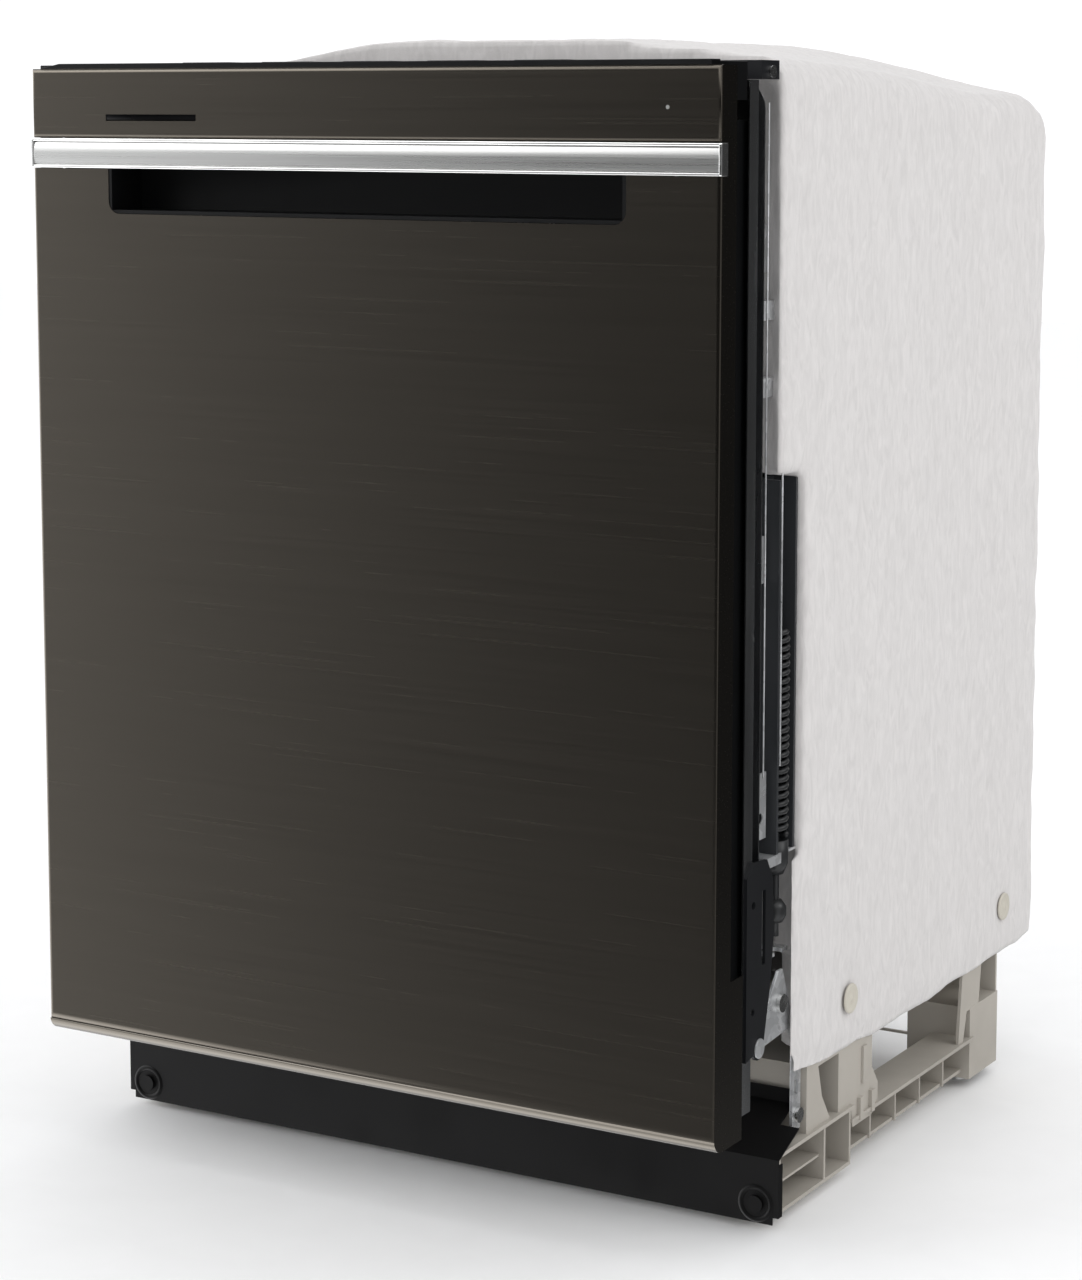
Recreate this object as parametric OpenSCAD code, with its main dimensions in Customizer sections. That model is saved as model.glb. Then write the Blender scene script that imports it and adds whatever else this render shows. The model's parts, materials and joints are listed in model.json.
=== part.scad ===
// Built-in dishwasher: lagged steel tub on a moulded base, drop-down door with a full-width
// handle bar and pocket, black toe-kick, two racks, two spray arms, pumps and door hardware.
// Units are millimetres. X is right, Y is back, Z is up. Depths inside the modules are
// measured back from the plane of the door's front face.

/* [Overall] */
// Width of the door panel
door_w = 606; // [500:1:730]
// Height of the door panel's top edge above the floor
door_top = 868; // [780:1:1040]
// Height of the door panel's bottom edge above the floor
door_bottom = 92; // [80:1:110]
// Depth from the door's front face to the back of the lagging
body_depth = 645; // [560:1:780]

/* [Door] */
// Radius of the panel's lower front edge
toe_r = 12; // [6:1:16]
// Depth of the whole closed door
door_t = 72; // [66:1:80]
// Depth of the panel's side return
return_d = 24; // [18:1:30]
// Height of the control strip above the panel
strip_rise = 4; // [2:1:6]
// Height of a control button's travel
button_travel = 1.5; // [1:0.5:2.5]

/* [Handle] */
// Height of the handle bar's face
bar_h = 23; // [18:1:28]
// Distance from the door's top down to the bar's top
bar_drop = 53.5; // [45:0.5:70]
// Width of the finger pocket
pocket_w = 457; // [360:1:500]
// Height of the pocket under the bar
pocket_h = 35; // [28:1:45]
// Depth of the pocket
pocket_d = 38; // [30:1:46]

/* [Hinge] */
// Distance from the back of the door to the hinge axis
hinge_gap = 8; // [7:1:10]
// Height of the hinge axis
pivot_z = 150; // [148:1:154]
// Radius of the hinge pin
pin_r = 4; // [3:0.5:5]

/* [Tub] */
// Distance from the door's side to the tub wall
tub_inset = 31; // [29:1:36]
// Height of the tub floor's underside
tub_floor = 150; // [149:1:156]
// Radius of the heater's ring
heater_r = 173; // [150:1:178]
// Thickness of the tub's sheet
sheet = 1.2; // [0.8:0.1:2]

/* [Racks] */
// Radius of the coated rack wire
wire_r = 2; // [1.6:0.1:2.6]
// Height of the upper rack's floor
upper_z = 505; // [490:1:560]
// Height of the lower rack's floor
lower_z = 235; // [230:1:245]

/* [Hidden] */
$fn = 48;
hw = door_w / 2;
yf = 1 - (body_depth + 1) / 2;
bar_top = door_top - bar_drop;
bar_bot = bar_top - bar_h;
tx = hw - tub_inset;
tub_top = door_top - 22;
flange_d = door_t + 14;
rear = body_depth - flange_d;
tub_back = body_depth - 45;
lip_z = tub_floor + 32;
ledge_z = tub_floor + 40;
lx = tx - 30;
kick_z = 57;
pivot_d = door_t + hinge_gap;
led_x = hw - 42;
kick_screw_x = hw - 18;
valve_x = 90 - hw;
hose_x = valve_x + 41;
float_x = lx - 52;
rack_front = flange_d + 34;
rack_back = tub_back - 42;
rack_x = tx - 26;
mid_d = (rack_front + rack_back) / 2;
deck_rib = 82 + (mid_d - flange_d - 59) % 95;
lag_x = hw - 2;
strip_bot = door_top - 24;
arm_x = hw - 7;

module at_face() { translate([0, yf, 0]) children(); }

// Depths measured back from the front of the tub's flange.
module at_flange() { translate([0, yf + flange_d, 0]) children(); }

module both() {
    children();
    mirror([1, 0, 0]) children();
}

// Box from its limits across, back and up.
module bx(x0, x1, d0, d1, z0, z1) {
    translate([x0, d0, z0]) cube([x1 - x0, d1 - d0, z1 - z0]);
}

// Front-view outline (x, z) given depth from d0 to d1.
module front_view(d0, d1) {
    translate([0, d1, 0]) rotate([90, 0, 0]) linear_extrude(height = d1 - d0) children();
}

// Side-view outline (depth, z) given width from x0 to x1.
module side_view(x0, x1) {
    translate([x0, 0, 0]) rotate([90, 0, 90]) linear_extrude(height = x1 - x0) children();
}

module rect(x0, x1, y0, y1) { translate([x0, y0]) square([x1 - x0, y1 - y0]); }

// Rounded rectangle as one outline.
module rrect(x0, x1, y0, y1, r) {
    hull()
        for (x = [x0 + r, x1 - r], y = [y0 + r, y1 - r])
            translate([x, y]) circle(r = r, $fn = 32);
}

// Flat lattice: an outline with nx by ny windows between bars as wide as the wire.
module lattice(x0, x1, y0, y1, nx, ny) {
    w = 2 * wire_r;
    px = (x1 - x0 - w) / nx;
    py = (y1 - y0 - w) / ny;
    difference() {
        rect(x0, x1, y0, y1);
        for (i = [0 : nx - 1], j = [0 : ny - 1])
            rect(x0 + w + i * px, x0 + (i + 1) * px, y0 + w + j * py, y0 + (j + 1) * py);
    }
}

// Open basket of lattice panels, from its half width, depths, floor height and side height.
module basket(x1, d0, d1, z0, h, nx, nd, nz) {
    w = 2 * wire_r;
    translate([0, 0, z0]) linear_extrude(height = w) lattice(-x1, x1, d0, d1, nx, nd);
    for (x = [-x1, x1 - w]) side_view(x, x + w) lattice(d0, d1, z0, z0 + h, nd, nz);
    for (d = [d0, d1 - w]) front_view(d, d + w) lattice(-x1, x1, z0, z0 + h, nx, nz);
}

module pipe_y(x, d0, d1, z, r) {
    translate([x, d0, z]) rotate([-90, 0, 0]) cylinder(r = r, h = d1 - d0);
}

module pipe_x(x0, x1, d, z, r) {
    translate([x0, d, z]) rotate([0, 90, 0]) cylinder(r = r, h = x1 - x0);
}

module pipe_z(x, d, z0, z1, r) {
    translate([x, d, z0]) cylinder(r = r, h = z1 - z0);
}

// ---------------------------------------------------------------- door

module skin_profile(t) {
    hull() {
        translate([toe_r, door_bottom + toe_r]) circle(r = toe_r - t, $fn = 48);
        rect(t, 60, door_bottom + toe_r, door_top + t * 2);
        rect(toe_r, 60, door_bottom + t, door_bottom + 30);
    }
}

module door_skin() {
    color("#4a4640") at_face() difference() {
        union() {
            difference() {
                side_view(-hw, hw) intersection() {
                    skin_profile(0);
                    rect(-1, 44, 0, door_top);
                }
                side_view(-hw + sheet, hw - sheet) skin_profile(sheet);
                bx(-hw - 1, hw + 1, return_d, 60, 215, door_top + 1);
            }
            both() bx(hw - 11, hw - sheet / 2, return_d - sheet, return_d, 215, strip_bot - 1);
        }
        bx(-hw - 2, hw + 2, -1, 10, bar_bot - 0.4, bar_top + 0.4);
        front_view(-1, 10) difference() {
            rrect(-pocket_w / 2, pocket_w / 2, bar_bot - pocket_h, bar_bot + 20, 10);
            rect(-hw, hw, bar_bot, bar_bot + 30);
        }
        bx(-230, -144, -1, 5, door_top - 40, door_top - 35);
        pipe_y(led_x, -1, 5, door_top - 29, 1.6);
    }
}

module handle_bar() {
    color("#b9b7b2") at_face()
        side_view(-hw + 1.5, hw - 1.5) difference() {
            rrect(-1, 9, bar_bot, bar_top, 1.2);
            rect(-2, -0.4, bar_top - 3.4, bar_top - 2.6);
            rect(3, 10, bar_bot + 3, bar_top - 3);
        }
}

module handle_end_caps() {
    color("#e8e7e3") at_face() both() {
        side_view(hw - 1.5, hw + 1) rrect(-1, 9, bar_bot, bar_top, 1.2);
        bx(hw - 8, hw - 1.5, 3.1, 8.5, bar_bot + 3.1, bar_top - 3.1);
    }
}

module pocket_insert() {
    pw = pocket_w / 2;
    color("#17181a") at_face() difference() {
        front_view(0.4, pocket_d + 2) rrect(-pw + 0.2, pw - 0.2, bar_bot - pocket_h + 0.2, bar_top - 1, 9.8);
        bx(-pw + 3, pw - 3, -1, pocket_d, bar_bot - pocket_h + 3, bar_top - 4);
        bx(-pw - 1, pw + 1, 0, 9.2, bar_bot - 0.1, bar_top + 1);
        bx(-pw - 1, pw + 1, 0, 12, bar_bot + 0.5, bar_top + 1);
    }
}

module door_frame() {
    zt = strip_bot - 2;
    zb = door_bottom + 16;
    xp = max(hw - 40, pocket_w / 2 + 1);
    color("#101112") at_face() difference() {
        bx(-hw + 12, hw - 12, return_d + 0.4, door_t - sheet - 0.2, zb, zt);
        bx(-hw + 40, hw - 40, return_d - 1, door_t, zb + 28, bar_bot - pocket_h - 22);
        bx(-xp, xp, return_d - 1, door_t, bar_bot - pocket_h - 6, zt - 22);
        both() bx(hw - 32, hw - 16, return_d + 3, door_t - 5, zb + 4, zt - 4);
        bx(-hw - 1, hw + 1, 46, door_t, strip_bot - 14, zt + 1);
    }
}

module door_liner() {
    bxw = tx - 27;
    color("#b8b9ba") at_face() difference() {
        union() {
            bx(-hw + 7, hw - 7, 58, door_t, door_bottom + 12, door_top - 10);
            front_view(door_t - 1, door_t + 24) rrect(-bxw, bxw, 215, door_top - 48, 24);
        }
        bx(-hw + 7 + sheet, hw - 7 - sheet, 57, door_t - sheet,
            door_bottom + 12 + sheet, door_top - 10 - sheet);
        front_view(door_t - 2, door_t + 24 - sheet)
            rrect(-bxw + sheet, bxw - sheet, 215 + sheet, door_top - 48 - sheet, 22.8);
        bx(-84, 84, door_t, door_t + 30, 468, 572);
        pipe_y(170, door_t, door_t + 30, 300, 30);
        bx(-14, 14, door_t - 3, door_t + 2, strip_bot - 11, strip_bot - 1);
    }
}

module dispenser_body() {
    color("#9a9c9e") at_face() difference() {
        union() {
            bx(-83.5, 83.5, door_t - 6, door_t + 26, 468.5, 571.5);
            bx(-90, 90, door_t + 24, door_t + 26, 462, 578);
        }
        bx(-76, 4, door_t + 2, door_t + 27, 476, 564);
        pipe_y(46, door_t + 2, door_t + 27, 540, 20.2);
    }
}

module dispenser_lid() {
    color("#85878a") at_face() {
        bx(-75.6, 3.6, door_t + 26.2, door_t + 29, 476.4, 563.6);
        bx(-40, -30, door_t + 29, door_t + 33, 490, 550);
    }
}

module rinse_cap() {
    color("#7b7e82") at_face() difference() {
        pipe_y(46, door_t + 14, door_t + 30, 540, 20.1);
        bx(36, 42, door_t + 24, door_t + 31, 530, 550);
        bx(50, 56, door_t + 24, door_t + 31, 530, 550);
    }
}

module door_vent() {
    color("#202224") at_face() difference() {
        union() {
            pipe_y(170, door_t + 2, door_t + 22.7, 300, 29.9);
            pipe_y(170, door_t + 24, door_t + 27, 300, 34);
            pipe_y(170, door_t + 22.6, door_t + 24.1, 300, 29.9);
        }
        for (z = [282 : 12 : 318]) bx(150, 190, door_t + 20, door_t + 28, z - 2, z + 2);
    }
}

module control_strip() {
    zt = door_top + strip_rise;
    color("#141517") at_face() difference() {
        union() {
            bx(-hw + 33, hw - 8, 0.6, 14, door_top + 0.2, zt);
            bx(-hw + 8, hw - 8, sheet + 0.4, 56, strip_bot, zt - 1.2);
            front_view(0.6, 14) polygon([[-hw + 8, door_top + 0.2], [-hw + 33, door_top + 0.2],
                [-hw + 33, zt], [-hw + 27, zt]]);
        }
        bx(-hw + 12, hw - 12, 4, 53, strip_bot - 1, zt - 3.2);
        for (i = [0 : 4]) bx(-172 + i * 74, -128 + i * 74, 22, 38, zt - 5, zt + 1);
        bx(-52, 52, 46, 57, strip_bot - 1, strip_bot + 13);
    }
}

module console_button(i) {
    zt = door_top + strip_rise;
    color("#2b2d30") at_face() {
        bx(-171.7 + i * 74, -128.3 + i * 74, 22.3, 37.7, zt - 3.4, zt + 0.6);
        bx(-170 + i * 74, -130 + i * 74, 24, 36, zt - 4.9 - button_travel, zt - 3.3);
    }
}

module button_power() { console_button(0); }
module button_cycle() { console_button(1); }
module button_option() { console_button(2); }
module button_dry() { console_button(3); }
module button_start() { console_button(4); }

module display_window() {
    color("#060607") at_face() {
        bx(-229.8, -144.2, 0.3, sheet + 0.2, door_top - 39.8, door_top - 35.2);
        bx(valve_x - 19, -142, sheet + 0.1, 3, door_top - 42, door_top - 33);
    }
}

module status_light() {
    color("#cfd6e0") at_face() {
        pipe_y(led_x, 0.2, sheet + 0.2, door_top - 29, 1.5);
        pipe_y(led_x, sheet + 0.1, 8, door_top - 29, 3);
    }
}

module control_board() {
    color("#1f5a3a") at_face() {
        bx(-220, 100, 4, 45, strip_bot + 4, strip_bot + 5.6);
        bx(-180, -150, 14, 40, strip_bot + 5.6, strip_bot + 13);
        bx(-60, -30, 14, 40, strip_bot + 5.6, strip_bot + 15);
        bx(56, 90, 12, 44, strip_bot + 5.6, strip_bot + 10);
    }
}

module door_latch() {
    color("#2a2c2f") at_face() difference() {
        union() {
            bx(-50, 50, 46.5, door_t - sheet - 0.2, strip_bot - 12, door_top - 10.2 - sheet);
            bx(-12, 12, door_t - sheet - 0.3, door_t + 26, strip_bot - 9, strip_bot - 3);
        }
        bx(-13, 13, door_t + 14, door_t + 20, strip_bot - 5.5, strip_bot - 2);
    }
}

module hinge_arms() {
    color("#232527") at_face() both() difference() {
        side_view(arm_x, arm_x + 2.5) union() {
            polygon([[pivot_d - 21, pivot_z - 6], [pivot_d - 21, pivot_z + 132], [pivot_d - 10, pivot_z + 142],
                [pivot_d + 12, pivot_z + 140], [pivot_d + 22, pivot_z + 124], [pivot_d + 24, pivot_z + 78],
                [pivot_d + 18, pivot_z + 40], [pivot_d + 8, pivot_z]]);
            translate([pivot_d, pivot_z]) circle(r = 9);
        }
        pipe_x(arm_x - 1, arm_x + 4, pivot_d, pivot_z, pin_r + 0.05);
        bx(arm_x - 1, arm_x + 4, pivot_d + 4, pivot_d + 10, pivot_z + 62, pivot_z + 118);
        pipe_x(arm_x - 1, arm_x + 4, pivot_d - 10, pivot_z + 30, 3);
        pipe_x(arm_x - 1, arm_x + 4, pivot_d - 10, pivot_z + 110, 3);
    }
}

// ---------------------------------------------------------------- cabinet

module hinge_brackets() {
    color("#c9cbcc") at_flange() both() {
        difference() {
            side_view(arm_x - 5.2, arm_x - 2.7) union() {
                translate([pivot_d - flange_d, pivot_z]) circle(r = 6.5);
                polygon([[pivot_d - flange_d, pivot_z - 6.4], [56, pivot_z - 2], [64, pivot_z - 12],
                    [64, 64], [78.5, 64],
                    [78.5, 112], [67, pivot_z - 6], [45, pivot_z + 47], [38, pivot_z + 47], [8, pivot_z + 12],
                    [pivot_d - flange_d, pivot_z + 6.4]]);
            }
            pipe_x(arm_x - 6, arm_x, 40, pivot_z + 22, 4.2);
            bx(arm_x - 6, arm_x, 68, 74, 92, 104);
        }
        pipe_x(arm_x - 4, arm_x + 3.2, pivot_d - flange_d, pivot_z, pin_r);
        pipe_x(arm_x + 2.6, arm_x + 4, pivot_d - flange_d, pivot_z, pin_r + 3.5);
    }
}

module tub() {
    color("#b4b6b8") at_face() difference() {
        union() {
            front_view(flange_d, tub_back) {
                rrect(-tx, tx, ledge_z - 1.2, tub_top, 22);
                rrect(-lx, lx, tub_floor, ledge_z + 40, 14);
            }
            front_view(flange_d, flange_d + sheet) rrect(-hw + 9, hw - 9, lip_z - 14, tub_top + 12, 20);
            bx(-lx, lx, flange_d, flange_d + sheet, tub_floor, lip_z);
        }
        front_view(flange_d + sheet, tub_back - sheet) {
            rrect(-tx + sheet, tx - sheet, ledge_z, tub_top - sheet, 20.8);
            rrect(-lx + sheet, lx - sheet, tub_floor + sheet, ledge_z + 40, 12.8);
        }
        front_view(flange_d - 1, flange_d + 3) rrect(-tx + sheet, tx - sheet, lip_z, tub_top - sheet, 20.8);
        pipe_z(0, mid_d, tub_floor - 1, tub_floor + 3, 88);
        pipe_z(float_x, mid_d + 150, tub_floor - 1, tub_floor + 3, 7);
    }
}

module tub_gasket() {
    color("#0c0c0d") at_face() difference() {
        front_view(door_t + 0.3, flange_d) rrect(-tx - 15, tx + 15, lip_z - 13, tub_top + 11, 22);
        front_view(door_t - 1, flange_d + 1) rrect(-tx - 1, tx + 1, lip_z, tub_top, 16);
        both() bx(tx + 5, tx + 10, door_t - 1, door_t + 5, lip_z + 20, tub_top - 20);
    }
}

module sump() {
    color("#3a3d40") at_face() difference() {
        union() {
            pipe_z(0, mid_d, tub_floor - 40, tub_floor - 0.2, 96);
            pipe_z(0, mid_d, tub_floor - 62, tub_floor - 38, 62);
            pipe_y(0, mid_d + 50, mid_d + 110, tub_floor - 45, 14);
            pipe_y(-30, mid_d - 110, mid_d - 40, tub_floor - 50, 12);
        }
        pipe_z(0, mid_d, tub_floor - 36, tub_floor + 1, 88);
        pipe_z(0, mid_d, tub_floor - 58, tub_floor - 30, 54);
        pipe_y(0, mid_d + 52, mid_d + 111, tub_floor - 45, 11);
        pipe_y(-30, mid_d - 111, mid_d - 42, tub_floor - 50, 9);
    }
}

module sump_filter() {
    color("#6f7478") at_face() difference() {
        union() {
            pipe_z(0, mid_d, tub_floor - 8, tub_floor - 5, 86);
            pipe_z(0, mid_d, tub_floor - 54, tub_floor - 5, 36);
            pipe_z(0, mid_d, tub_floor - 6, tub_floor + 14, 14);
        }
        pipe_z(0, mid_d, tub_floor - 52, tub_floor - 10, 33);
        pipe_z(0, mid_d, tub_floor - 10, tub_floor + 15, 6);
        for (a = [0 : 30 : 330]) translate([0, mid_d, 0]) rotate(a) pipe_z(60, 0, tub_floor - 9, tub_floor, 5);
    }
}

module wash_pump() {
    y0 = mid_d + 110.1;
    color("#2c3033") at_face() {
        pipe_y(0, y0, y0 + 28, tub_floor - 58, 38);
        pipe_y(0, y0 + 27, y0 + 88, tub_floor - 58, 34);
        pipe_y(0, y0 + 87, min(y0 + 98, body_depth - 95), tub_floor - 58, 12);
    }
}

module drain_pump() {
    y0 = mid_d - 110;
    color("#3b4045") at_face() {
        pipe_y(-30, y0 - 30, y0 - 0.1, tub_floor - 55, 26);
        pipe_y(-30, y0 - 48, y0 - 29, tub_floor - 55, 20);
        pipe_x(-84, -50, y0 - 15, tub_floor - 66, 9);
    }
}

module drain_hose() {
    y0 = mid_d - 125;
    y1 = tub_back + 25;
    z = tub_floor - 66;
    color("#33363a") at_face() {
        pipe_x(hose_x, -84.1, y0, z, 10);
        for (x = [hose_x + 14 : 7 : -95]) pipe_x(x, x + 3, y0, z, 13);
        pipe_y(hose_x, y0, y1 - 25.9, z, 10);
        pipe_y(hose_x, y1 - 26, y1, z, 11);
        for (d = [y0 + 20 : 15 : y1 - 36]) pipe_y(hose_x, d, d + 4, z, 13);
        translate([hose_x, y0, z]) sphere(r = 10);
    }
}

module heater() {
    z = tub_floor + 18;
    color("#9b8f86") at_face() {
        translate([0, mid_d, z]) rotate(110) rotate_extrude(angle = 320)
            translate([heater_r, 0]) circle(r = 3.5);
        for (a = [70, 110]) translate([0, mid_d, 0]) rotate(a)
            pipe_z(heater_r, 0, tub_floor + sheet, z + 3.5, 3.6);
    }
}

module float_dome() {
    color("#c8cacb") at_face() {
        pipe_z(float_x, mid_d + 150, tub_floor - 22, tub_floor + 6, 6.95);
        pipe_z(float_x, mid_d + 150, tub_floor + 5, tub_floor + 30, 20);
    }
}

module inlet_valve() {
    color("#d8d6cf") at_flange() difference() {
        union() {
            bx(valve_x - 19, valve_x + 19, 85, 122, 44, 82);
            pipe_z(valve_x, 104, 24, 44.1, 12);
            pipe_z(valve_x, 104, 81, 105, 8);
        }
        pipe_z(valve_x, 104, 23, 42, 9.5);
    }
}

module feed_tube() {
    zb = tub_floor + 12;
    y1 = tub_back - 24;
    color("#c9c6bd") at_face() {
        pipe_z(0, y1, zb, tub_top - 18, 9);
        pipe_y(0, mid_d + 60, y1, zb, 9);
        translate([0, y1, zb]) sphere(r = 9);
        pipe_y(0, tub_back - 160, y1, tub_top - 18, 8);
        translate([0, y1, tub_top - 18]) sphere(r = 9);
        pipe_z(0, tub_back - 160, tub_top - 34, tub_top - 14, 22);
        pipe_y(0, rack_back + 2, y1, upper_z - 6.5, 7);
        bx(-14, 14, y1 + 4, tub_back - sheet, tub_floor + 200, tub_floor + 220);
    }
}

module slide_channels() {
    color("#a9abad") at_face() both() difference() {
        bx(tx - 13, tx - sheet, flange_d + 14, tub_back - 12, upper_z + 42, upper_z + 74);
        bx(tx - 14, tx - 4, flange_d + 13, tub_back - 16, upper_z + 48, upper_z + 68);
    }
}

module blanket_shape() {
    r = 24;
    intersection() {
        front_view(18, rear) union() {
            hull() {
                both_flat(lag_x - r, door_top - 12 + 20 - r) circle(r = r, $fn = 32);
                both_flat(lag_x - 150, door_top + 21 - 60) circle(r = 60, $fn = 32);
                rect(-lag_x, lag_x, 104, 400);
            }
        }
        side_view(-lag_x - 1, lag_x + 1) hull() {
            rect(18, 34, 104, door_top + 21);
            rect(18, rear, 104, 400);
            translate([rear - 76, door_top + 21 - 84]) circle(r = 76, $fn = 40);
            translate([rear - 200, door_top + 21 - 60]) circle(r = 60, $fn = 40);
        }
        linear_extrude(height = door_top + 60) hull() {
            rect(-lag_x, lag_x, 18, 214);
            both_flat(lag_x - 28, rear - 28) circle(r = 28, $fn = 32);
        }
    }
}

module both_flat(x, y) {
    for (s = [-1, 1]) translate([s * x, y]) children();
}

module insulation_blanket() {
    color("#dcd8d6") at_flange() difference() {
        blanket_shape();
        bx(-tx - 0.6, tx + 0.6, 14, tub_back - flange_d + 0.6, 80, tub_top + 0.6);
        bx(-hw + 6, hw - 6, 14, rear - 4, 80, 118);
        both() bx(tx - 5, hw + 5, 14, 61, 282, 571);
        both() bx(tx - 5, hw + 5, 14, 50, 80, 283);
        both() bx(tx - 5, hw + 5, 14, 54, 80, 122);
        both() bx(tx - 5, hw - 7.5, 14, 82, 80, 200);
        both() bx(tx - 5, hw - 7.5, 14, 68, 199, 290);
        both() bx(tx - 5, hw - 8, 14, 27, 570, tub_top + 8);
        bx(-tx - 20, tx + 20, 14, 26, tub_top, tub_top + 14);
    }
}

module blanket_studs() {
    color("#cfc8b6") at_flange() both() for (d = [151, rear - 89]) {
        pipe_x(lag_x + 0.1, lag_x + 1.8, d, 148, 12);
        pipe_x(tx + 0.2, lag_x + 0.3, d, 148, 2.4);
    }
}

module spring_channels() {
    color("#2e3033") at_flange() both() difference() {
        bx(tx + 2, tx + 23, 28, 59, 288.2, 568);
        bx(tx + 5, tx + 24, 31, 56, 288, 569);
    }
}

module door_springs() {
    x = tx + 15;
    color("#1b1c1e") at_flange() both() {
        for (i = [0 : 13]) translate([x, 43.5, 303 + i * 11])
            rotate_extrude() translate([7.2, 0]) circle(r = 2.4, $fn = 16);
        pipe_z(x, 43.5, 222, 456, 5.6);
        pipe_z(x, 43.5, 455, 500, 2);
        pipe_z(x, 43.5, 270, 296, 9.6);
        pipe_z(x, 43.5, 232, 250, 8.6);
    }
}

module side_brackets() {
    x = tx + sheet;
    color("#b2b4b6") at_flange() both() difference() {
        union() {
            bx(tx, x, 3, 18, 300, tub_top - 14);
            bx(tx, hw - 10, 2.4, 3.6, tub_top - 16, tub_top - 13);
            bx(tx, x + 12, 6, 24, 720, 723);
            bx(tx, x + 12, 6, 24, 751, 754);
            bx(x + 10.8, x + 12, 14, 24, 720, 754);
            bx(tx, x + 12, 6, 24, 492, 495);
            bx(tx, x + 12, 6, 24, 524, 527);
            bx(x + 10.8, x + 12, 14, 24, 492, 527);
            bx(tx, x + 16, 4, 22, 302, 304);
            bx(x + 14.8, x + 16, 4, 22, 302, 352);
            bx(x + 2, x + 18, 6, 26, 686, 700);
            bx(x, x + 18, 6, 26, 630, 644);
            bx(x, x + 4, 6, 18, 686, 700);
        }
        for (z = [812, 834]) pipe_x(tx - 1, hw, 11, z, 3);
        bx(tx - 1, x + 1, 9.5, 12.5, 780, 812);
        pipe_x(tx - 1, hw, 13, 318, 4);
        bx(tx - 1, x + 1, 6, 12, 372, 398);
    }
}

module spring_shelves() {
    color("#d4d5d5") at_flange() both() difference() {
        union() {
            bx(tx, arm_x - 1.2, 12, 66, 286, 288);
            bx(arm_x - 2.4, arm_x - 1.2, 12, 49, 280, 288);
            bx(tx, arm_x - 6, 32, 60, 208, 211);
        }
        pipe_z(tx + 15, 43.5, 280, 290, 10);
        pipe_z(tx + 15, 43.5, 205, 215, 7);
    }
}

module top_brackets() {
    x0 = tx - 60;
    color("#17181a") at_flange() both() difference() {
        union() {
            bx(x0, hw - 6, -12, 17, tub_top + 12.5, tub_top + 26);
        }
        bx(x0 - 1, hw - 8, -9.5, 18, tub_top + 11, tub_top + 23.5);
        pipe_z(x0 + 14, 4, tub_top + 20, tub_top + 30, 2.6);
        pipe_z(x0 + 44, 4, tub_top + 20, tub_top + 30, 2.6);
        pipe_x(hw - 9, hw - 5, 4, tub_top + 18, 2.05);
    }
}

module bracket_screws() {
    color("#c0c2c3") at_flange() both() {
        pipe_x(hw - 6, hw - 4, 4, tub_top + 18, 4.6);
        pipe_x(hw - 12, hw - 6, 4, tub_top + 18, 2);
        pipe_x(arm_x - 12, arm_x - 0.8, 40, pivot_z + 22, 4.1);
        pipe_x(arm_x - 2.6, arm_x + 0.6, 40, pivot_z + 22, 7);
        pipe_x(arm_x - 2.7, arm_x + 0.4, 72, 76, 6);
    }
}

module door_strike() {
    color("#bcbec0") at_face() difference() {
        union() {
            bx(-30, 30, flange_d + 1.4, flange_d + 28, tub_top - 3.2, tub_top - sheet);
            bx(-16, 16, flange_d + 1.4, flange_d + 5.4, tub_top - 14, tub_top - sheet);
        }
        bx(-13, 13, flange_d + 1, flange_d + 5.8, tub_top - 12.4, tub_top - 2.4);
    }
}

module kick_profile() {
    polygon([[19, 6], [20.2, 6], [20.2, kick_z - 0.3], [78.2, 81.4], [78.2, 93], [77, 93], [77, 82.2],
        [19, kick_z + 0.4]]);
}

module kick_plate() {
    color("#1c1c1d") at_flange() difference() {
        union() {
            side_view(-hw - 1, hw + 1) kick_profile();
            both() bx(hw - 0.2, hw + 1, 20, 26, 8, kick_z - 4);
        }
        both() bx(hw - 4, hw + 2, 14, 44, 0, 12);
        both() bx(hw - 15, hw + 2, 54, 84, 60, 100);
        both() pipe_y(kick_screw_x, 14, 24, 21, 2.6);
    }
}

module kick_screws() {
    color("#262728") at_flange() both() {
        pipe_y(kick_screw_x, 16.6, 19, 21, 6.4);
        pipe_y(kick_screw_x, 18.9, 40, 21, 2.5);
    }
}

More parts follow.
